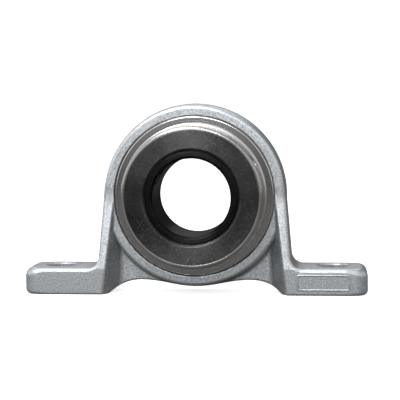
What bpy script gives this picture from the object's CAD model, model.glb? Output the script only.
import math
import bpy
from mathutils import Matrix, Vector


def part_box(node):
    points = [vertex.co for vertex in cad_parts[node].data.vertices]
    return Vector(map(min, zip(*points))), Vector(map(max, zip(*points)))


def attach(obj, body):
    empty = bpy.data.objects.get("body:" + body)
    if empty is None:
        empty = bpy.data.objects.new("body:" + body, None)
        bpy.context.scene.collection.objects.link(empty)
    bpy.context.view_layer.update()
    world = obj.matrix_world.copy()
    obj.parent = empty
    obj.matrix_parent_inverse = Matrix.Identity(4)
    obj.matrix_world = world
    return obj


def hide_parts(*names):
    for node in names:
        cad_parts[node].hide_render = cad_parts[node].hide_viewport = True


bl_info = {
    "name": "Pillow Block Bearing",
    "version": (1, 0, 0),
    "blender": (4, 5, 0),
    "location": "View3D > Sidebar > Bearing",
    "description": "Cast housing, turned rings and finishes of a pillow block bearing unit",
    "category": "Mesh",
}

from functools import cache

import bpy
import numpy as np
from bpy.props import FloatProperty, FloatVectorProperty, IntProperty, PointerProperty
from mathutils import Quaternion, Vector

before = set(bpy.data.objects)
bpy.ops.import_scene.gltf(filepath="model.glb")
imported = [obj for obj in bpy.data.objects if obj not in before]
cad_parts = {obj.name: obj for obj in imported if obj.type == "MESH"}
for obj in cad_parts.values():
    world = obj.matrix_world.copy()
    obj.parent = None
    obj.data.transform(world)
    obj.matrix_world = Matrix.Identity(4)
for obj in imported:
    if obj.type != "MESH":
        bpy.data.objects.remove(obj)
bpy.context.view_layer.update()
MM = 0.001
SHARP_ANGLE = math.radians(28)  # edges sharper than this stay sharp where a piece is drilled
TRACK_GAP = 0.02 * MM  # between a ball and each track
FIT_GAP = 0.01 * MM  # between the inner ring's nose and what sits on it
FRAME_SIDES = 16
FRAME_WEAR = 0.3  # the name frame's lines are rubbed a little bright


def turned_size(node):
    """Outer radius of a turned CAD node, and its two ends as distances towards the collar side."""
    low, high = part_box(node)
    return (high[0] - low[0]) / 2, -high[1], -low[1]


HOUSING_LOW, HOUSING_HIGH = (np.array(corner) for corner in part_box("housing"))
SHAFT_HEIGHT = sum(float(corner[2]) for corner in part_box("outer_ring")) / 2


# ---- Sizes and colours that a user may change ----------------------------


def length(name, description, default, low=0.0):
    """A length property, in metres."""
    return FloatProperty(
        name=name, description=description, default=default, min=low, subtype="DISTANCE", unit="LENGTH"
    )


def angle(name, description, degrees):
    """An angle property with its default given in degrees."""
    return FloatProperty(name=name, description=description, default=math.radians(degrees), subtype="ANGLE")


def colour(name, description, default):
    """A linear colour property."""
    return FloatVectorProperty(
        name=name, description=description, default=default, size=3, min=0.0, max=1.0, subtype="COLOR"
    )


class BEARING_PG_housing(bpy.types.PropertyGroup):
    """Sizes of the cast housing that its box doesn't give."""

    arch_half: length("Arch half width", "Half the width of the arch along the shaft", 7.0 * MM)
    draft: length("Draft", "How much lower each face stands than the middle", 0.7 * MM)
    web_half: length("Web half thickness", "Half the thickness of the web", 3.0 * MM)
    leg_width: length("Leg width", "Width of each leg's front face at shaft height", 4.0 * MM)
    leg_flare: length("Leg flare", "How much further out each leg stands at its foot", 1.5 * MM)
    foot_depth: length("Foot depth", "Depth of the feet along the shaft", 20.0 * MM)
    foot_height: length("Foot height", "Height of the feet at their edges", 8.6 * MM)
    foot_rise: length("Foot rise", "How much higher each foot is along its middle", 0.3 * MM)
    foot_corner: length("Foot corner", "Radius of the feet's corners in plan", 4.0 * MM)
    foot_fillet: length("Foot fillet", "Fillet between each leg and its foot", 3.6 * MM)
    arch_lift: length("Arch lift", "Height of the hollow under each side", 4.1 * MM)
    seat_radius: length("Seat radius", "Radius of the spherical seat", 27.0 * MM)
    hole_offset: length("Hole offset", "Distance from the middle to each bolt hole", 45.0 * MM)
    hole_radius: length("Hole radius", "Radius of each bolt hole", 5.0 * MM)
    cell: length("Cell", "Spacing of the points on the casting's skin", 0.5 * MM)


class BEARING_PG_insert(bpy.types.PropertyGroup):
    """Sizes of the turned rings."""

    segments: IntProperty(name="Segments", description="Faces round each ring", default=240, min=48)
    ring_face: length("Ring face", "Radius of the outer ring's outer corner", 25.95 * MM)
    ring_corner: length("Ring corner", "Radius of the outer ring's outer corners", 0.9 * MM)
    ring_land: length("Ring land", "Inner radius of the outer ring beside the track", 22.0 * MM)
    seal_seat: length("Seal seat", "Radius of the recess that holds a seal", 22.8 * MM)
    seal_depth: length("Seal depth", "Depth of the recess that holds a seal", 1.35 * MM)
    track_radius: length("Track radius", "Radius of the ball track's section", 4.13 * MM)
    pitch_radius: length("Pitch radius", "Radius of the circle through the balls", 19.5 * MM)
    ball_radius: length("Ball radius", "Radius of each ball", 3.97 * MM)
    bore_radius: length("Bore radius", "Radius of the shaft bore", 12.5 * MM)
    nose_radius: length("Nose radius", "Radius of the inner ring under the collar", 14.95 * MM)
    bore_chamfer: length("Bore chamfer", "Chamfer at each end of the bore", 0.8 * MM)
    collar_chamfer: length("Collar chamfer", "Chamfer on the collar's outer front edge", 0.8 * MM)
    collar_mouth: length("Collar mouth", "Chamfer on the collar's inner front edge", 0.85 * MM)
    bright_rim: length("Bright rim", "Radius beyond which the collar's face is bare metal", 21.6 * MM)
    screw_hole: length("Screw hole", "Radius of each set screw hole", 2.53 * MM)


class BEARING_PG_finish(bpy.types.PropertyGroup):
    """Colours of the metals and the rubber."""

    zinc: colour("Zinc", "Die-cast zinc alloy", (0.60, 0.63, 0.655))
    steel: colour("Steel", "Ground bearing steel", (0.60, 0.595, 0.585))
    black: colour("Black", "Blackened steel of the collar", (0.051, 0.050, 0.050))
    rubber: colour("Rubber", "Seal rubber", (0.018, 0.018, 0.019))
    brass: colour("Brass", "Cage", (0.62, 0.44, 0.18))


class BEARING_PG_stage(bpy.types.PropertyGroup):
    """Where the camera stands and how far it looks."""

    azimuth: angle("Azimuth", "Camera's turn round the unit", 6.0)
    elevation: angle("Elevation", "Camera's height angle", 4.0)
    roll: angle("Roll", "Camera's turn about its line of sight", 0.5)
    distance: length("Distance", "From the camera to the shaft centre", 0.43)
    lens: FloatProperty(name="Lens", description="Focal length", default=117.6, min=10.0, unit="CAMERA")
    aim_side: length("Aim side", "How far beside the shaft the camera aims", 1.3 * MM, -1.0)
    aim_up: length("Aim up", "How far above the shaft the camera aims", -1.8 * MM, -1.0)
    floor_lift: FloatProperty(name="Floor lift", description="Extra brightness of the floor", default=0.75)


# ---- Mesh helpers --------------------------------------------------------


def make_mesh(name, points, faces, masks=None, normals=None):
    """A mesh object from an array of points and an array of faces, turned so that its volume is
    positive. Normals are one vector a point, and masks are named values, one a point."""
    faces = np.asarray(faces)
    corners = np.moveaxis(points[faces], 1, 0)
    fans = [(corners[0] * np.cross(corners[k], corners[k + 1])).sum() for k in range(1, len(corners) - 1)]
    if sum(fans) < 0:
        faces = faces[:, ::-1]
    mesh = bpy.data.meshes.new(name)
    mesh.from_pydata(points.tolist(), [], faces.tolist())
    mesh.shade_smooth()
    for key, values in (masks or {}).items():
        layer = mesh.attributes.new(key, "FLOAT", "POINT")
        layer.data.foreach_set("value", np.asarray(values, np.float32))
    mesh.update()
    if normals is not None:
        mesh.normals_split_custom_set_from_vertices(normals.tolist())
    piece = bpy.data.objects.new(name, mesh)
    bpy.context.scene.collection.objects.link(piece)
    return piece


def arc(r, h, radius, start, end, steps=24):
    """Sharp corners along a circular arc in the (radius, distance) plane. Angles are in degrees."""
    t = np.radians(np.linspace(start, end, steps + 1))
    return np.stack([r + radius * np.cos(t), h + radius * np.sin(t), 0 * t], 1).tolist()


def rounded(corners, steps=5):
    """A closed outline whose corners are rounded. Each corner is (r, h, radius), and each is cut by
    the arc of that radius that touches both of its sides. Gives the points, and a mask that rises
    to 1 in the middle of each arc."""
    corners = np.array(corners, float)
    spots = corners[:, :2]
    points, edge = [], []
    for spot, before, after, radius in zip(spots, np.roll(spots, 1, 0), np.roll(spots, -1, 0), corners[:, 2]):
        u = (before - spot) / np.linalg.norm(before - spot)
        v = (after - spot) / np.linalg.norm(after - spot)
        half = math.acos(np.clip(u @ v, -1, 1)) / 2
        if radius <= 0 or half > math.radians(88):
            points.append(spot[None])
            edge.append(np.zeros(1))
            continue
        reach = radius / math.tan(half)
        centre = spot + (u + v) / np.linalg.norm(u + v) * radius / math.sin(half)
        from_centre = (spot + u * reach) - centre
        turn = (math.pi - 2 * half) * np.sign(np.cross(-u, v))
        t = np.linspace(0, turn, steps + 1)
        spin = np.stack([np.stack([np.cos(t), -np.sin(t)], 1), np.stack([np.sin(t), np.cos(t)], 1)], 1)
        points.append(centre + spin @ from_centre)
        edge.append(np.sin(np.linspace(0, math.pi, steps + 1)))
    return np.concatenate(points), np.concatenate(edge)


def ring_faces(rows, columns):
    """Quads of a grid of points that closes on itself both ways."""
    i, j = np.meshgrid(np.arange(rows), np.arange(columns), indexing="ij")
    here, next_row = i * columns, (i + 1) % rows * columns
    j2 = (j + 1) % columns
    return np.stack([here + j, here + j2, next_row + j2, next_row + j], 2).reshape(-1, 4)


def revolve(name, outline, edge, segments):
    """A turned part: the closed outline of (radius, distance towards the collar side) is carried
    once round the shaft. A point at angle t is (r sin t, -h, shaft height + r cos t). Each normal is
    the mean of the two sides that meet there, weighted by their lengths."""
    side = np.roll(outline, -1, 0) - outline
    across = np.stack([side[:, 1], -side[:, 0]], 1)
    area = (outline[:, 0] * np.roll(outline[:, 1], -1) - outline[:, 1] * np.roll(outline[:, 0], -1)).sum()
    flat = (across + np.roll(across, 1, 0)) * np.sign(area)
    flat /= np.linalg.norm(flat, axis=1, keepdims=True) + 1e-12
    t = np.linspace(0, 2 * math.pi, segments, endpoint=False)[:, None]

    def round_shaft(r, h, height):
        return np.stack([r * np.sin(t), -h + 0 * t, height + r * np.cos(t)], 2).reshape(-1, 3)

    points = round_shaft(outline[:, 0], outline[:, 1], SHAFT_HEIGHT)
    normals = round_shaft(flat[:, 0], flat[:, 1], 0.0)
    faces = ring_faces(segments, len(outline))
    return make_mesh(name, points, faces, {"edge": np.tile(edge, segments)}, normals)


def drill(piece, start, end, radius, segments=64):
    """Cuts a straight round hole through a piece, from start to end, and applies the cut."""
    start, end = np.array(start), np.array(end)
    axis = (end - start) / np.linalg.norm(end - start)
    side = np.cross(axis, [0.0, 1.0, 0.0])
    side /= np.linalg.norm(side)
    up = np.cross(axis, side)
    t = np.linspace(0, 2 * math.pi, segments, endpoint=False)[:, None]
    rim = radius * (np.cos(t) * side + np.sin(t) * up)
    k = np.arange(segments)
    walls = np.stack([k, (k + 1) % segments, (k + 1) % segments + segments, k + segments], 1).tolist()
    mesh = bpy.data.meshes.new("drill")
    caps = [k[::-1].tolist(), (k + segments).tolist()]
    mesh.from_pydata(np.concatenate([start + rim, end + rim]).tolist(), [], caps + walls)
    mesh.update()
    tool = bpy.data.objects.new("drill", mesh)
    bpy.context.scene.collection.objects.link(tool)
    cut = piece.modifiers.new("hole", "BOOLEAN")
    cut.operation = "DIFFERENCE"
    cut.solver = "EXACT"
    cut.object = tool
    apply_modifiers(piece)
    bpy.data.objects.remove(tool)
    bpy.data.meshes.remove(mesh)


def apply_modifiers(piece):
    """Makes the result of a piece's modifiers its own mesh."""
    graph = bpy.context.evaluated_depsgraph_get()
    graph.update()
    done = bpy.data.meshes.new_from_object(piece.evaluated_get(graph))
    piece.modifiers.clear()
    piece.data = done


def drill_for_screws(piece, start, end, radius):
    """Drills a piece along the line of each set screw, from one distance off the shaft to another,
    and evens out the shading of its large faces."""
    for node in ("set_screw_left", "set_screw_right"):
        low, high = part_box(node)
        middle = np.array((low + high) / 2)
        shaft = np.array([0.0, middle[1], SHAFT_HEIGHT])
        out = (middle - shaft) / np.linalg.norm(middle - shaft)
        drill(piece, shaft + out * start, shaft + out * end, radius)
    piece.data.set_sharp_from_angle(angle=SHARP_ANGLE)
    even = piece.modifiers.new("even", "WEIGHTED_NORMAL")
    even.keep_sharp = True
    apply_modifiers(piece)


def seat_piece(piece, body, slot, finish, *nodes):
    """Gives a new piece its body, slot, finish and the CAD nodes that it stands for."""
    piece.data.materials.clear()
    piece.data.materials.append(material(finish))
    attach(piece, body)
    if nodes:
        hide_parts(*nodes)


# ---- The casting as one smooth field -------------------------------------

RIDGE_SOFT = 0.25 * MM  # half width over which the ridge in the middle of each face is rounded off
ARCH_EDGE = 1.0 * MM
SKYLINE_EDGE, SKYLINE_END_EDGE = 1.1 * MM, 2.8 * MM  # on the legs, and at the ends of the feet
UNDER_EDGE, UNDER_END_EDGE = 0.6 * MM, 1.6 * MM
SEAT_EDGE, HOLE_EDGE, POCKET_EDGE = 0.3 * MM, 0.4 * MM, 0.5 * MM
LEG_FILLET, WEB_FILLET = 0.25 * MM, 0.9 * MM
LEG_TUCK = 0.35 * MM  # how far inside the arch's outline the legs end
LEG_OVERLAP = 4.0 * MM  # how far above the shaft the legs end
LEG_FOOT_FRONT = 2.5 * MM  # width of a leg's front face at its foot
POCKET_SLOPE, POCKET_EASE = 4.0 * MM, 2.2 * MM  # lean of a pocket's wall at the foot, and its loss upwards
POCKET_STEEPNESS = 0.85  # turns the sideways distance to that leaning wall into a true one
END_START, END_LENGTH = 7.0 * MM, 6.0 * MM  # where the rounder foot ends begin, and over what length
WEB_TOP = 0.7  # height of the web, as a share of the shaft's height
LIFT_PEAK = 0.6  # where the hollow is highest, as a share of the arch's radius
LIFT_MARGIN = 0.6 * MM  # flat left between the hollow and the inside of each foot
STEEPEST = 2.0  # slope of the hollow past which its distance is no longer corrected


def round_max(a, b, r):
    """The larger of two distances, with the edge between them rounded to radius r."""
    return np.minimum(np.maximum(a, b), -r) + np.hypot(np.maximum(a + r, 0), np.maximum(b + r, 0))


def round_min(a, b, r):
    """The smaller of two distances, with the corner between them filled to radius r."""
    return -round_max(-a, -b, r)


def underside(x, dip, lift, lift_x, end):
    """Height of the hollow under the arch at distance x from the middle: half a cosine wave up to
    lift_x, then a circle down to the mounting surface at end."""
    r = ((end - lift_x) ** 2 + lift**2) / (2 * lift)
    wave = dip + (lift - dip) * (1 - np.cos(np.pi * np.minimum(x, lift_x) / lift_x)) / 2
    drop = r - np.sqrt(np.maximum(r**2 - np.clip(x - lift_x, 0, end - lift_x) ** 2, 0))
    return np.where(x < lift_x, wave, lift - drop)


def casting_field(points, size):
    """Signed distance to the skin of the casting, negative inside it. The arch is a disc with
    draft, each leg and foot is what lies under one skyline between two faces, the web is a slab,
    and the seat, the bolt holes and the hollow underneath are taken away."""
    x, y, z = np.abs(points[..., 0]), np.abs(points[..., 1]), points[..., 2]
    shaft = SHAFT_HEIGHT
    arch_r = HOUSING_HIGH[2] - shaft
    end_x = HOUSING_HIGH[0]
    foot_half = size.foot_depth / 2
    r = np.hypot(x, z - shaft)

    soft_y = np.hypot(y, RIDGE_SOFT)
    fall = size.draft * soft_y / size.arch_half
    arch = round_max(r - (arch_r - fall), y - size.arch_half, ARCH_EDGE)

    rise = (z - size.foot_height) / (shaft - size.foot_height)
    up = np.clip(rise, 0, 1.25)
    low = np.clip(rise, -0.36, 1.25)
    front = foot_half + (size.arch_half - foot_half) * up
    leg_out = arch_r + size.leg_flare
    foot_in = leg_out - LEG_FOOT_FRONT
    outside = leg_out + (arch_r - LEG_TUCK - leg_out) * up
    inner_front = foot_in + (arch_r - size.leg_width - foot_in) * low
    inner_web = inner_front - POCKET_SLOPE + POCKET_EASE * low
    across = np.clip((y - size.web_half) / (front - size.web_half), -0.5, 1.2)
    wall_x = inner_web + (inner_front - inner_web) * across
    wall = (wall_x - x) * POCKET_STEEPNESS

    ridge = size.foot_height + size.foot_rise * (1 - soft_y / foot_half)
    leg = np.maximum(x - outside, z - shaft - LEG_OVERLAP)
    skyline = round_min(leg, z - ridge, size.foot_fillet)
    ends = round_max(x - end_x, y - front, size.foot_corner)
    at_end = np.clip((x - (end_x - END_START)) / END_LENGTH, 0, 1)
    edge = SKYLINE_EDGE + (SKYLINE_END_EDGE - SKYLINE_EDGE) * at_end
    side = round_max(round_max(ends, skyline, edge), wall, POCKET_EDGE)

    web = np.maximum(np.maximum(y - size.web_half, x - foot_in), z - shaft * WEB_TOP)
    body = round_min(arch, side, LEG_FILLET)
    body = round_min(body, web, WEB_FILLET)

    lift = (shaft - arch_r, size.arch_lift, LIFT_PEAK * arch_r, foot_in - LIFT_MARGIN)
    step = 0.1 * MM
    slope = (underside(x + step, *lift) - underside(x - step, *lift)) / (2 * step)
    below = (underside(x, *lift) - z) / np.sqrt(1 + np.minimum(slope**2, STEEPEST**2))
    body = round_max(body, below, UNDER_EDGE + (UNDER_END_EDGE - UNDER_EDGE) * at_end)

    seat = size.seat_radius - np.sqrt(x**2 + y**2 + (z - shaft) ** 2)
    body = round_max(body, seat, SEAT_EDGE)
    hole = size.hole_radius - np.hypot(x - size.hole_offset, y)
    return round_max(body, hole, HOLE_EDGE)


def level_surface(field, low, high, cell):
    """Points and faces of the surface where a field is zero. The field is sampled on a grid, each
    grid cell that the surface crosses gets one point, the mean of its crossed edges, and each
    crossed edge gets the face between the four cells round it. The points are then moved along the
    field's slope until they lie on the surface."""
    axes = [np.arange(a - 2 * cell, b + 3 * cell, cell) for a, b in zip(low, high)]
    grid = np.stack(np.meshgrid(*axes, indexing="ij"), -1)
    value = field(grid)
    inside = value < 0
    shape = np.array(value.shape)
    total = np.zeros((*shape, 3))
    hits = np.zeros(shape)
    faces = []
    number = np.arange(value.size).reshape(value.shape)
    for a in range(3):
        b, c = (a + 1) % 3, (a + 2) % 3
        near = [slice(None)] * 3
        far = [slice(None)] * 3
        near[a], far[a] = slice(0, -1), slice(1, None)
        near, far = tuple(near), tuple(far)
        where = np.argwhere(inside[near] != inside[far])
        where = where[(where[:, b] > 0) & (where[:, c] > 0)]
        v0 = value[near][tuple(where.T)]
        v1 = value[far][tuple(where.T)]
        cross = where.astype(float)
        cross[:, a] += v0 / (v0 - v1)
        ring = []
        for db, dc in ((0, 0), (-1, 0), (-1, -1), (0, -1)):
            cells = where.copy()
            cells[:, b] += db
            cells[:, c] += dc
            ring.append(number[tuple(cells.T)])
            np.add.at(total.reshape(-1, 3), ring[-1], cross)
            np.add.at(hits.reshape(-1), ring[-1], 1)
        quad = np.stack(ring, 1)
        faces.append(np.where((v0 < 0)[:, None], quad, quad[:, ::-1]))
    faces = np.concatenate(faces)
    used = np.flatnonzero(hits)
    order = np.zeros(value.size, int)
    order[used] = np.arange(len(used))
    points = total.reshape(-1, 3)[used] / hits.reshape(-1)[used][:, None]
    points = points * cell + np.array([axis[0] for axis in axes])
    for _ in range(6):
        slope = gradient(field, points)
        move = field(points)[:, None] * slope / np.maximum((slope**2).sum(1, keepdims=True), 0.2)
        size = np.linalg.norm(move, axis=1, keepdims=True)
        points = points - move * np.minimum(1, 0.4 * cell / np.maximum(size, 1e-12))
    return points, order[faces]


def gradient(field, points, step=0.03 * MM):
    """Slope of a field at each point, by differences over a short step."""
    return np.stack([field(points + e) - field(points - e) for e in step * np.eye(3)], 1) / (2 * step)


def bend(field, points, step=0.25 * MM):
    """How sharply the surface bends at each point, per millimetre: above zero on an outside edge
    and below zero in a fillet. It is the sum of the field's second differences."""
    middle = field(points)
    total = sum(field(points + e) + field(points - e) - 2 * middle for e in step * np.eye(3))
    return total / step**2 * MM


# ---- Node helpers --------------------------------------------------------


class Tree:
    """Adds nodes to a material or a node group, left to right."""

    def __init__(self, tree):
        self.tree = tree
        self.column = 0

    def add(self, kind, settings=None, **inputs):
        """Adds one node. Inputs are named by socket, with _ for a space, or iN by number."""
        node = self.tree.nodes.new(kind)
        node.location = (self.column, 0)
        self.column += 200
        for key, value in (settings or {}).items():
            setattr(node, key, value)
        for key, value in inputs.items():
            socket = node.inputs[int(key[1:])] if key[1:].isdigit() else node.inputs[key.replace("_", " ")]
            if isinstance(value, bpy.types.NodeSocket):
                self.link(value, socket)
            else:
                socket.default_value = value
        return node

    def link(self, output, given):
        """Joins an output socket to an input socket."""
        self.tree.links.new(output, given)

    def math(self, operation, a, b=0.0):
        """The output of one Math node."""
        return self.add("ShaderNodeMath", {"operation": operation}, i0=a, i1=b).outputs[0]

    def times(self, a, b):
        """The product of two values."""
        return self.math("MULTIPLY", a, b)

    def plus(self, a, b):
        """The sum of two values."""
        return self.math("ADD", a, b)

    def noise(self, place, scale, detail=2.0, roughness=0.5):
        """The height of one Noise Texture node."""
        inputs = {"Vector": place, "Scale": scale, "Detail": detail, "Roughness": roughness}
        return self.add("ShaderNodeTexNoise", **inputs).outputs[0]

    def attribute(self, name):
        """A value that the mesh holds at each point."""
        return self.add("ShaderNodeAttribute", {"attribute_name": name}).outputs["Fac"]

    def blend(self, factor, a, b):
        """The output of one colour Mix node."""
        return self.add("ShaderNodeMix", {"data_type": "RGBA"}, i0=factor, i6=a, i7=b).outputs[2]

    def spread(self, value, low, high, to_low=0.0, to_high=1.0):
        """Value carried from one range to another, and held at its ends."""
        node = self.add("ShaderNodeMapRange", i0=value, i1=low, i2=high, i3=to_low, i4=to_high)
        return node.outputs[0]


def group(name, inputs, outputs):
    """A new shader node group with float or vector sockets, and its Tree, inputs and output node."""
    tree = bpy.data.node_groups.new(name, "ShaderNodeTree")
    for label, kind, default in inputs:
        socket = tree.interface.new_socket(label, in_out="INPUT", socket_type=kind)
        if default is not None:
            socket.default_value = default
    for label, kind in outputs:
        tree.interface.new_socket(label, in_out="OUTPUT", socket_type=kind)
    build = Tree(tree)
    start = build.add("NodeGroupInput")
    end = tree.nodes.new("NodeGroupOutput")
    end.location = (4000, 0)
    return build, start.outputs, end.inputs


FLOAT, VECTOR = "NodeSocketFloat", "NodeSocketVector"


def cast_grain_group():
    """Grain of a die casting: fine pits and bumps, with slow cloudy change over them."""
    build, given, out = group(
        "cast_grain",
        [("Vector", VECTOR, None), ("Scale", FLOAT, 2200.0), ("Cloud", FLOAT, 120.0)],
        [("Height", FLOAT), ("Speckle", FLOAT), ("Cloud", FLOAT)],
    )
    fine = build.noise(given["Vector"], given["Scale"], 3.0, 0.6)
    cells = build.add("ShaderNodeTexVoronoi", Vector=given["Vector"], Scale=given["Scale"])
    slow = build.noise(given["Vector"], given["Cloud"], 4.0, 0.55)
    height = build.plus(fine, build.times(cells.outputs[0], 0.35))
    build.link(height, out["Height"])
    build.link(build.spread(fine, 0.35, 0.65), out["Speckle"])
    build.link(build.spread(slow, 0.3, 0.7), out["Cloud"])
    return build.tree


def turning_group():
    """Marks that a lathe tool leaves: noise that depends only on the distance from the shaft and
    the place along it, so it makes closed rings."""
    build, given, out = group(
        "turning_marks",
        [("Vector", VECTOR, None), ("Pitch", FLOAT, 9000.0)],
        [("Rings", FLOAT), ("Radius", FLOAT)],
    )
    x, y, z = build.add("ShaderNodeSeparateXYZ", i0=given["Vector"]).outputs
    radius = build.math("SQRT", build.plus(build.math("POWER", x, 2.0), build.math("POWER", z, 2.0)))
    place = build.add("ShaderNodeCombineXYZ", i0=radius, i1=y).outputs[0]
    build.link(build.spread(build.noise(place, given["Pitch"]), 0.3, 0.7), out["Rings"])
    build.link(radius, out["Radius"])
    return build.tree


def scuff_group():
    """Handling marks: thin short scratches in two directions, and scattered light specks."""
    inputs = [("Vector", VECTOR, None), ("Amount", FLOAT, 0.5)]
    build, given, out = group("scuffs", inputs, [("Scratches", FLOAT), ("Specks", FLOAT)])
    lines = []
    for turn, squash in ((0.6, 16.0), (-0.9, 22.0)):
        place = build.add(
            "ShaderNodeMapping",
            {"vector_type": "TEXTURE"},
            i0=given["Vector"],
            i2=(0.0, turn, 0.0),
            i3=(1 / squash, 1.0, 1.0),
        ).outputs[0]
        lines.append(build.spread(build.noise(place, 160.0), 0.69, 0.74))
    both = build.math("MAXIMUM", *lines)
    specks = build.spread(build.noise(given["Vector"], 1500.0, 1.0), 0.66, 0.74)
    build.link(build.times(both, given["Amount"]), out["Scratches"])
    build.link(build.times(specks, given["Amount"]), out["Specks"])
    return build.tree


@cache
def shared_group(name):
    """The named node group, built the first time it is asked for."""
    return {"cast_grain": cast_grain_group, "turning_marks": turning_group, "scuffs": scuff_group}[name]()


def placed(build, name, **inputs):
    """The outputs of a shared node group placed in a material."""
    node = build.add("ShaderNodeGroup", {"node_tree": shared_group(name)})
    for key, value in inputs.items():
        if isinstance(value, bpy.types.NodeSocket):
            build.link(value, node.inputs[key])
        else:
            node.inputs[key].default_value = value
    return node.outputs


def new_material(name, metallic, roughness):
    """An empty principled material, its Tree, its shader and a vector centred on the shaft."""
    material = bpy.data.materials.new(name)
    material.use_nodes = True
    build = Tree(material.node_tree)
    shader = material.node_tree.nodes["Principled BSDF"]
    shader.location = (3600, 0)
    material.node_tree.nodes["Material Output"].location = (3900, 0)
    shader.inputs["Metallic"].default_value = metallic
    shader.inputs["Roughness"].default_value = roughness
    place = build.add("ShaderNodeTexCoord").outputs["Object"]
    centred = build.add("ShaderNodeMapping", i0=place, i1=(0.0, 0.0, -SHAFT_HEIGHT)).outputs[0]
    return material, build, shader, centred


def rgba(value, scale=1.0):
    """A colour property as four numbers, lightened or darkened."""
    return (*(min(1.0, c * scale) for c in value), 1.0)


def put(build, shader, tone, roughness, height=None, strength=0.3, distance=0.02 * MM):
    """Links a colour, a roughness and, where there is one, a bump height to the shader."""
    build.link(tone, shader.inputs["Base Color"])
    build.link(roughness, shader.inputs["Roughness"])
    if height is not None:
        bump = build.add("ShaderNodeBump", Strength=strength, Distance=distance, Height=height)
        build.link(bump.outputs[0], shader.inputs["Normal"])


def turned(build, shader, centred, amount):
    """Spreads the shine across the marks of a lathe tool, which lie along circles round the shaft.
    The direction across them is the cross product of the circle's direction and the normal."""
    along = build.add("ShaderNodeVectorMath", {"operation": "CROSS_PRODUCT"}, i0=(0.0, 1.0, 0.0), i1=centred)
    along = build.add(
        "ShaderNodeVectorTransform",
        {"vector_type": "VECTOR", "convert_from": "OBJECT", "convert_to": "WORLD"},
        i0=along.outputs[0],
    )
    normal = build.add("ShaderNodeNewGeometry").outputs["Normal"]
    across = build.add("ShaderNodeVectorMath", {"operation": "CROSS_PRODUCT"}, i0=along.outputs[0], i1=normal)
    across = build.add("ShaderNodeVectorMath", {"operation": "NORMALIZE"}, i0=across.outputs[0])
    build.link(across.outputs[0], shader.inputs["Tangent"])
    shader.inputs["Anisotropic"].default_value = amount


def zinc_material(finish):
    """Die-cast zinc: pale satin metal with fine grain, rubbed bright on its outside edges and
    dull and a little brown in its fillets."""
    material, build, shader, centred = new_material("zinc_casting", 0.8, 0.42)
    grain = placed(build, "cast_grain", Vector=centred)
    bent = build.attribute("bend")
    worn = build.spread(bent, 0.15, 0.9)
    hollow = build.spread(bent, -0.1, -0.5)
    tone = build.blend(grain["Speckle"], rgba(finish.zinc, 0.55), rgba(finish.zinc, 1.25))
    tone = build.blend(build.times(grain["Cloud"], 0.35), tone, rgba(finish.zinc, 0.9))
    tone = build.blend(build.times(worn, 0.5), tone, rgba(finish.zinc, 1.3))
    tone = build.blend(build.times(hollow, 0.4), tone, (0.3, 0.29, 0.275, 1.0))
    rough = build.plus(build.spread(grain["Speckle"], 0, 1, 0.36, 0.48), build.times(worn, -0.1))
    put(build, shader, tone, rough, grain["Height"], 0.5, 0.09 * MM)
    return material


def steel_material(finish, name, rough_low, rough_high, shade=1.0):
    """Ground bearing steel: bright, with fine rings from the grinding wheel and brighter edges."""
    material, build, shader, centred = new_material(name, 1.0, 0.22)
    marks = placed(build, "turning_marks", Vector=centred, Pitch=7000.0)
    scuffs = placed(build, "scuffs", Vector=centred, Amount=0.4)
    tone = build.blend(marks["Rings"], rgba(finish.steel, 0.82 * shade), rgba(finish.steel, 1.08 * shade))
    tone = build.blend(scuffs["Specks"], tone, rgba(finish.steel, 0.6 * shade))
    edge = build.attribute("edge")
    tone = build.blend(build.times(edge, 0.8), tone, rgba(finish.steel, 1.4))
    rough = build.spread(marks["Rings"], 0, 1, rough_low, rough_high)
    put(build, shader, tone, rough, marks["Rings"], 0.25, 0.01 * MM)
    turned(build, shader, centred, 0.5)
    return material


def black_material(finish, name, bright_from, scuffed, depth=1.0):
    """Blackened steel, oiled and handled: scratches and specks show bare metal, and so do edges
    and all that lies beyond the radius bright_from. A smaller depth is a darker black."""
    material, build, shader, centred = new_material(name, 0.95, 0.38)
    marks = placed(build, "turning_marks", Vector=centred, Pitch=5000.0)
    scuffs = placed(build, "scuffs", Vector=centred, Amount=scuffed)
    cloud = placed(build, "cast_grain", Vector=centred, Scale=1400.0, Cloud=90.0)
    edge = build.attribute("edge")
    bare = build.spread(marks["Radius"], bright_from - 0.08 * MM, bright_from + 0.08 * MM)
    bare = build.math("MAXIMUM", bare, build.times(edge, 0.35 * depth))
    tone = build.blend(cloud["Cloud"], rgba(finish.black, 0.6 * depth), rgba(finish.black, 1.6 * depth))
    tone = build.blend(build.times(cloud["Speckle"], 0.3), tone, rgba(finish.black, 2.6 * depth))
    marked = build.math("MAXIMUM", scuffs["Scratches"], scuffs["Specks"])
    tone = build.blend(marked, tone, rgba(finish.steel, 0.35))
    steel = build.blend(marks["Rings"], rgba(finish.steel, 0.6), rgba(finish.steel, 0.95))
    tone = build.blend(bare, tone, steel)
    rough = build.spread(cloud["Cloud"], 0, 1, 0.3, 0.46)
    rough = build.math("SUBTRACT", rough, build.times(bare, 0.14))
    height = build.plus(marks["Rings"], build.times(cloud["Height"], 0.6))
    put(build, shader, tone, rough, height, 0.3, 0.02 * MM)
    turned(build, shader, centred, 0.8)
    return material


def ball_material(finish):
    """Polished ball steel with the faintest haze."""
    material, build, shader, centred = new_material("ball_steel", 1.0, 0.08)
    cloud = placed(build, "cast_grain", Vector=centred, Scale=900.0, Cloud=200.0)
    tone = build.blend(cloud["Cloud"], rgba(finish.steel, 1.1), rgba(finish.steel, 1.25))
    put(build, shader, tone, build.spread(cloud["Speckle"], 0, 1, 0.05, 0.12))
    return material


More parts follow.
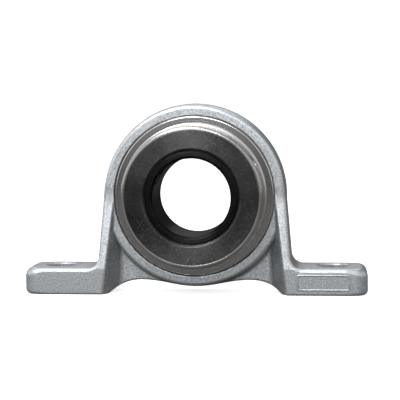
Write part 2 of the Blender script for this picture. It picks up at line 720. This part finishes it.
def brass_material(finish):
    """Stamped brass, with a fine grain from the press."""
    material, build, shader, centred = new_material("cage_brass", 1.0, 0.3)
    cloud = placed(build, "cast_grain", Vector=centred, Scale=1600.0, Cloud=150.0)
    tone = build.blend(cloud["Cloud"], rgba(finish.brass, 0.85), rgba(finish.brass, 1.1))
    put(build, shader, tone, build.spread(cloud["Speckle"], 0, 1, 0.24, 0.36), cloud["Height"], 0.2)
    return material


def rubber_material(finish):
    """Moulded seal rubber: dull black, dusty, with faint rings from the mould."""
    material, build, shader, centred = new_material("seal_rubber", 0.0, 0.6)
    marks = placed(build, "turning_marks", Vector=centred, Pitch=2500.0)
    dust = placed(build, "cast_grain", Vector=centred, Scale=1800.0, Cloud=110.0)
    tone = build.blend(build.times(dust["Cloud"], 0.5), rgba(finish.rubber), rgba(finish.rubber, 2.4))
    rough = build.spread(dust["Speckle"], 0, 1, 0.5, 0.72)
    put(build, shader, tone, rough, marks["Rings"], 0.2, 0.03 * MM)
    return material


NO_RIM = 30.0 * MM  # further out than any piece that has this finish


@cache
def material(name):
    """The named material, made from the scene's finish settings the first time it is used."""
    finish = bpy.context.scene.bearing_finish
    rim = bpy.context.scene.bearing_insert.bright_rim
    makers = {
        "zinc_casting": lambda: zinc_material(finish),
        "ground_steel": lambda: steel_material(finish, "ground_steel", 0.1, 0.2, 0.72),
        "flinger_steel": lambda: steel_material(finish, "flinger_steel", 0.2, 0.36),
        "collar_black": lambda: black_material(finish, "collar_black", rim, 0.5),
        "bore_black": lambda: black_material(finish, "bore_black", NO_RIM, 0.1, 0.22),
        "screw_black": lambda: black_material(finish, "screw_black", NO_RIM, 0.4),
        "ball_steel": lambda: ball_material(finish),
        "cage_brass": lambda: brass_material(finish),
        "seal_rubber": lambda: rubber_material(finish),
    }
    return makers[name]()


# ---- Operators: one for each piece or group of like pieces ---------------


class BEARING_OT_housing(bpy.types.Operator):
    """Cast housing with its fillets, its spherical seat and its bolt holes"""

    bl_idname = "bearing.housing"
    bl_label = "Housing"

    def execute(self, context):
        size = context.scene.bearing_housing

        def field(points):
            return casting_field(points, size)

        low = np.array([HOUSING_LOW[0], -size.foot_depth / 2, HOUSING_LOW[2]])
        high = np.array([HOUSING_HIGH[0], size.foot_depth / 2, HOUSING_HIGH[2]])
        points, faces = level_surface(field, low, high, size.cell)
        normals = gradient(field, points)
        normals /= np.linalg.norm(normals, axis=1, keepdims=True)
        piece = make_mesh("housing_casting", points, faces, {"bend": bend(field, points)}, normals)
        seat_piece(piece, "housing", "zinc_casting", "zinc_casting", "housing")
        return {"FINISHED"}


class BEARING_OT_name_frame(bpy.types.Operator):
    """Blank raised frame on the front of one foot"""

    bl_idname = "bearing.name_frame"
    bl_label = "Name frame"

    def execute(self, context):
        size = context.scene.bearing_housing
        front = -size.foot_depth / 2
        centre = np.array([41.75, 4.25]) * MM
        half = np.array([8.25, 2.35]) * MM
        corner, line, rise = 0.5 * MM, 0.32 * MM, 0.24 * MM
        signs = ((-1, -1), (1, -1), (1, 1), (-1, 1))
        outline, _ = rounded([(*(centre + half * sign), corner) for sign in signs])
        ahead = np.roll(outline, -1, 0) - np.roll(outline, 1, 0)
        ahead /= np.linalg.norm(ahead, axis=1, keepdims=True)
        across = np.stack([ahead[:, 1], -ahead[:, 0]], 1)
        t = np.radians(np.linspace(0, 360, FRAME_SIDES, endpoint=False))[None, :, None]
        spot = outline[:, None] + across[:, None] * line * np.cos(t)
        depth = front - rise * np.sin(t)[..., 0] + 0 * spot[..., 0]
        points = np.stack([spot[..., 0], depth, spot[..., 1]], 2)
        faces = ring_faces(*points.shape[:2])
        points = points.reshape(-1, 3)
        piece = make_mesh("name_frame", points, faces, {"bend": np.full(len(points), FRAME_WEAR)})
        seat_piece(piece, "housing", "zinc_casting", "zinc_casting")
        return {"FINISHED"}


class BEARING_OT_outer_ring(bpy.types.Operator):
    """Outer ring: spherical outside, ball track inside, and a recess for each seal"""

    bl_idname = "bearing.outer_ring"
    bl_label = "Outer ring"

    def execute(self, context):
        size = context.scene.bearing_insert
        sphere, _, half = turned_size("outer_ring")
        tilt = math.degrees(math.asin((half - size.ring_corner) / sphere))
        outside = arc(0, 0, sphere, -tilt, tilt)
        track_centre = size.pitch_radius + size.ball_radius + TRACK_GAP - size.track_radius
        open_angle = math.degrees(math.acos((size.ring_land - track_centre) / size.track_radius))
        track = arc(track_centre, 0, size.track_radius, open_angle, -open_angle)
        recess = half - size.seal_depth
        face_soft, land_soft = 0.15 * MM, 0.1 * MM
        outline, edge = rounded([
            (size.seal_seat, -half, face_soft),
            (size.ring_face, -half, size.ring_corner),
            *outside,
            (size.ring_face, half, size.ring_corner),
            (size.seal_seat, half, face_soft),
            (size.seal_seat, recess, 0),
            (size.ring_land, recess, land_soft),
            *track,
            (size.ring_land, -recess, land_soft),
            (size.seal_seat, -recess, 0),
        ])
        piece = revolve("outer_ring_turned", outline, edge, size.segments)
        seat_piece(piece, "outer", "ground_steel", "ground_steel", "outer_ring")
        return {"FINISHED"}


class BEARING_OT_inner_ring(bpy.types.Operator):
    """Inner ring: bore, ball track and the long nose under the collar, with its screw holes"""

    bl_idname = "bearing.inner_ring"
    bl_label = "Inner ring"

    def execute(self, context):
        size = context.scene.bearing_insert
        land, back, front = turned_size("inner_ring")
        step = -back
        bore, chamfer, nose = size.bore_radius, size.bore_chamfer, size.nose_radius
        track_centre = size.pitch_radius - size.ball_radius - TRACK_GAP + size.track_radius
        open_angle = math.degrees(math.acos((track_centre - land) / size.track_radius))
        track = arc(track_centre, 0, size.track_radius, 180 + open_angle, 180 - open_angle)
        soft, land_cut, nose_cut = 0.12 * MM, 0.4 * MM, 0.35 * MM
        outline, edge = rounded([
            (bore + chamfer, back, soft),
            (land - land_cut, back, soft),
            (land, back + land_cut, soft),
            *track,
            (land, step - land_cut, soft),
            (land - land_cut, step, soft),
            (nose, step, 0),
            (nose, front - nose_cut, soft),
            (nose - nose_cut, front, soft),
            (bore + chamfer, front, soft),
            (bore, front - chamfer, soft),
            (bore, back + chamfer, soft),
        ])
        piece = revolve("inner_ring_turned", outline, edge, size.segments)
        drill_for_screws(piece, bore - 1 * MM, nose + 1 * MM, size.screw_hole)
        seat_piece(piece, "shaft_side", "dark_steel", "bore_black", "inner_ring")
        return {"FINISHED"}


class BEARING_OT_collar(bpy.types.Operator):
    """Locking collar: black face, bright turned rim and its two screw holes"""

    bl_idname = "bearing.collar"
    bl_label = "Locking collar"

    def execute(self, context):
        size = context.scene.bearing_insert
        outer, back, front = turned_size("locking_collar")
        mouth = size.nose_radius + FIT_GAP
        rim, face = size.bright_rim, front - 0.02 * MM
        groove, groove_soft = 0.12 * MM, 0.05 * MM
        soft, back_cut = 0.14 * MM, 0.4 * MM
        outline, edge = rounded([
            (mouth, back, 0),
            (outer - back_cut, back, soft),
            (outer, back + back_cut, soft),
            (outer, front, size.collar_chamfer),
            (rim + groove, front, groove_soft),
            (rim, front - groove, 0.8 * groove_soft),
            (rim - groove, face, groove_soft),
            (mouth + size.collar_mouth, face, soft),
            (mouth, front - size.collar_mouth, soft),
        ])
        piece = revolve("collar_turned", outline, edge, size.segments)
        drill_for_screws(piece, mouth - 1 * MM, outer + 1 * MM, size.screw_hole)
        seat_piece(piece, "shaft_side", "dark_steel", "collar_black", "locking_collar")
        return {"FINISHED"}


class BEARING_OT_flinger(bpy.types.Operator):
    """Pressed steel flinger with a rolled rim"""

    bl_idname = "bearing.flinger"
    bl_label = "Flinger"

    def execute(self, context):
        size = context.scene.bearing_insert
        outer, back, front = turned_size("flinger")
        sheet, crisp, rolled = 0.8 * MM, 0.1 * MM, 0.45 * MM
        neck = size.nose_radius + FIT_GAP
        outline, edge = rounded([
            (neck, front - sheet, crisp),
            (outer - sheet, front - sheet, crisp),
            (outer - sheet, back, crisp),
            (outer, back, 1.5 * crisp),
            (outer, front, rolled),
            (neck, front, crisp),
        ])
        piece = revolve("flinger_pressed", outline, edge, size.segments)
        seat_piece(piece, "shaft_side", "ground_steel", "flinger_steel", "flinger")
        return {"FINISHED"}


class BEARING_OT_seals(bpy.types.Operator):
    """Rubber of both seals, with moulded ribs and a thin lip towards the inner ring"""

    bl_idname = "bearing.seals"
    bl_label = "Seals"

    def execute(self, context):
        size = context.scene.bearing_insert
        outer, inside, outside = turned_size("seal_lip_front")
        lip = turned_size("inner_ring")[0] + 0.05 * MM
        outer_rib, inner_rib, slope, dip, soft = 0.9 * MM, 1.0 * MM, 0.3 * MM, 0.22 * MM, 0.15 * MM
        corners = [
            (lip, inside, 0.1 * MM),
            (outer, inside, 0),
            (outer, outside, 0.2 * MM),
            (outer - outer_rib, outside, soft),
            (outer - outer_rib - slope, outside - dip, soft),
            (lip + inner_rib + slope, outside - dip, soft),
            (lip + inner_rib, outside, soft),
            (lip, outside - 0.1 * MM, 0.1 * MM),
        ]
        for node, side in (("seal_lip_front", 1), ("seal_lip_back", -1)):
            outline, edge = rounded([(r, side * h, radius) for r, h, radius in corners])
            piece = revolve(node + "_moulded", outline, edge, size.segments)
            seat_piece(piece, "outer", "seal_rubber", "seal_rubber", node)
        return {"FINISHED"}


class BEARING_OT_inside(bpy.types.Operator):
    """Finishes of the pieces that keep their own shapes: balls, cage, washers and set screws"""

    bl_idname = "bearing.inside"
    bl_label = "Balls, cage and screws"

    def execute(self, context):
        finishes = {
            "ball_": "ball_steel",
            "cage_": "cage_brass",
            "seal_core_": "ground_steel",
            "set_screw_": "screw_black",
        }
        for start, name in finishes.items():
            parts = [part for node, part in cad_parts.items() if node.startswith(start)]
            if not parts:
                raise RuntimeError("no node begins with " + start)
            for part in parts:
                part.data.materials.clear()
                part.data.materials.append(material(name))
        return {"FINISHED"}


def sweep_mesh(name, half, radius, reach):
    """A floor that curves up into a backdrop: its section is flat to reach behind the object, turns
    up through a quarter circle of that radius, and rises straight. It is carried from -half to half."""
    t = np.linspace(0, math.pi / 2, 17)
    y = np.concatenate([[-half], reach + radius * np.sin(t), [reach + radius]])
    z = np.concatenate([[0.0], radius - radius * np.cos(t), [radius + half]])
    x = np.array([[-half], [half]])
    points = np.stack([x + 0 * y, y + 0 * x, z + 0 * x], 2).reshape(-1, 3)
    count = len(y)
    k = np.arange(count - 1)
    return make_mesh(name, points, np.stack([k, k + 1, k + count + 1, k + count], 1))


# Name, place, width and height, and power in watts
LIGHTS = (
    ("key", (-0.18, -0.30, 0.52), (0.35, 0.25), 1.9),
    ("top", (0.0, 0.0, 0.5), (0.5, 0.2), 0.2),
    ("fill", (0.40, -0.45, 0.15), (0.2, 0.3), 0.05),
    ("front", (-0.04, -0.46, 0.19), (0.16, 0.09), 0.4),
    ("back", (-0.08, 0.42, 0.42), (0.6, 0.3), 0.8),
    ("left", (-0.5, 0.15, 0.2), (0.3, 0.3), 0.15),
    ("right", (0.5, 0.15, 0.2), (0.3, 0.3), 0.1),
)


def add_light(name, place, size, power):
    """A rectangular soft light that faces the bearing."""
    lamp = bpy.data.lights.new(name, "AREA")
    lamp.shape = "RECTANGLE"
    lamp.size, lamp.size_y = size
    lamp.energy = power
    holder = bpy.data.objects.new(name, lamp)
    holder.location = place
    holder.rotation_mode = "QUATERNION"
    holder.rotation_quaternion = (Vector((0, 0, SHAFT_HEIGHT)) - Vector(place)).to_track_quat("-Z", "Y")
    bpy.context.scene.collection.objects.link(holder)


def floor_material(lift):
    """Pale floor paint. The camera sees it white, while the metal reflects it as a dim floor."""
    paint = bpy.data.materials.new("pale_floor")
    paint.use_nodes = True
    build = Tree(paint.node_tree)
    shader = paint.node_tree.nodes["Principled BSDF"]
    place = build.add("ShaderNodeTexCoord").outputs["Object"]
    pale = build.blend(build.noise(place, 3.0), (0.86, 0.86, 0.86, 1), (0.88, 0.88, 0.88, 1))
    seen = build.add("ShaderNodeLightPath").outputs["Is Camera Ray"]
    build.link(build.times(seen, lift), shader.inputs["Emission Strength"])
    build.link(build.blend(seen, (0.12, 0.115, 0.11, 1), pale), shader.inputs["Base Color"])
    shader.inputs["Emission Color"].default_value = (1.0, 1.0, 1.0, 1.0)
    shader.inputs["Roughness"].default_value = 0.9
    return paint


def studio_world():
    """Surroundings: the camera sees white, while the metal reflects a studio that is bright above
    the horizon, more so in front and to the left, a little lit at both sides, and dim below."""
    world = bpy.data.worlds.new("studio")
    world.use_nodes = True
    build = Tree(world.node_tree)
    seen = build.add("ShaderNodeLightPath").outputs["Is Camera Ray"]
    way = build.add("ShaderNodeTexCoord").outputs["Generated"]
    x, y, z = build.add("ShaderNodeSeparateXYZ", i0=way).outputs
    above = build.spread(z, -0.12, 0.14)
    front = build.spread(y, 0.1, -0.4, 0.25, 0.8)
    across = build.spread(x, -0.4, 0.4, 1.15, 0.7)
    beside = build.times(build.math("ABSOLUTE", x), 0.12)
    sky = build.times(build.times(above, front), across)
    glow = build.plus(sky, build.plus(beside, 0.06))
    dim = build.blend(glow, (0.0, 0.0, 0.0, 1.0), (0.98, 0.99, 1.0, 1.0))
    shade = build.blend(seen, dim, (1.0, 1.0, 1.0, 1.0))
    build.link(shade, world.node_tree.nodes["Background"].inputs["Color"])
    return world


def add_camera(settings):
    """A camera in front of the bearing, aimed a little beside the shaft."""
    lens = bpy.data.cameras.new("camera")
    lens.lens = settings.lens
    lens.clip_start = 0.01
    eye = bpy.data.objects.new("camera", lens)
    bpy.context.scene.collection.objects.link(eye)
    a, e = settings.azimuth, settings.elevation
    back = Vector((math.sin(a) * math.cos(e), -math.cos(a) * math.cos(e), math.sin(e)))
    shaft = Vector((0, 0, SHAFT_HEIGHT))
    aim = shaft + Vector((settings.aim_side, 0, settings.aim_up))
    eye.location = shaft + back * settings.distance
    eye.rotation_mode = "QUATERNION"
    level = (aim - eye.location).to_track_quat("-Z", "Y")
    eye.rotation_quaternion = level @ Quaternion((0, 0, 1), -settings.roll)
    return eye


class BEARING_OT_stage(bpy.types.Operator):
    """Pale floor, soft lights and the camera"""

    bl_idname = "bearing.stage"
    bl_label = "Stage"

    def execute(self, context):
        scene = context.scene
        settings = scene.bearing_stage
        scene.view_settings.view_transform = "Standard"
        floor = sweep_mesh("floor", half=2.0, radius=0.45, reach=1.2)
        floor.data.materials.append(floor_material(settings.floor_lift))
        scene.world = studio_world()
        for light in LIGHTS:
            add_light(*light)
        scene.camera = add_camera(settings)
        return {"FINISHED"}


STEPS = ("housing", "name_frame", "outer_ring", "inner_ring", "collar", "flinger", "seals", "inside", "stage")


class BEARING_PT_panel(bpy.types.Panel):
    """Lists the operators in the order in which they are used"""

    bl_idname = "BEARING_PT_panel"
    bl_label = "Pillow block bearing"
    bl_space_type = "VIEW_3D"
    bl_region_type = "UI"
    bl_category = "Bearing"

    def draw(self, context):
        for step in STEPS:
            self.layout.operator("bearing." + step)
        for name in SETTINGS:
            box = self.layout.box()
            holder = getattr(context.scene, name)
            for key in holder.__annotations__:
                box.prop(holder, key)


SETTINGS = {
    "bearing_housing": BEARING_PG_housing,
    "bearing_insert": BEARING_PG_insert,
    "bearing_finish": BEARING_PG_finish,
    "bearing_stage": BEARING_PG_stage,
}
CLASSES = (
    *SETTINGS.values(),
    BEARING_OT_housing,
    BEARING_OT_name_frame,
    BEARING_OT_outer_ring,
    BEARING_OT_inner_ring,
    BEARING_OT_collar,
    BEARING_OT_flinger,
    BEARING_OT_seals,
    BEARING_OT_inside,
    BEARING_OT_stage,
    BEARING_PT_panel,
)


def register():
    for cls in CLASSES:
        bpy.utils.register_class(cls)
    for name, cls in SETTINGS.items():
        setattr(bpy.types.Scene, name, PointerProperty(type=cls))


def unregister():
    for name in SETTINGS:
        delattr(bpy.types.Scene, name)
    for cls in reversed(CLASSES):
        bpy.utils.unregister_class(cls)


def main():
    register()
    for step in STEPS:
        getattr(bpy.ops.bearing, step)()
    bpy.context.view_layer.update()


if __name__ == "__main__":
    main()
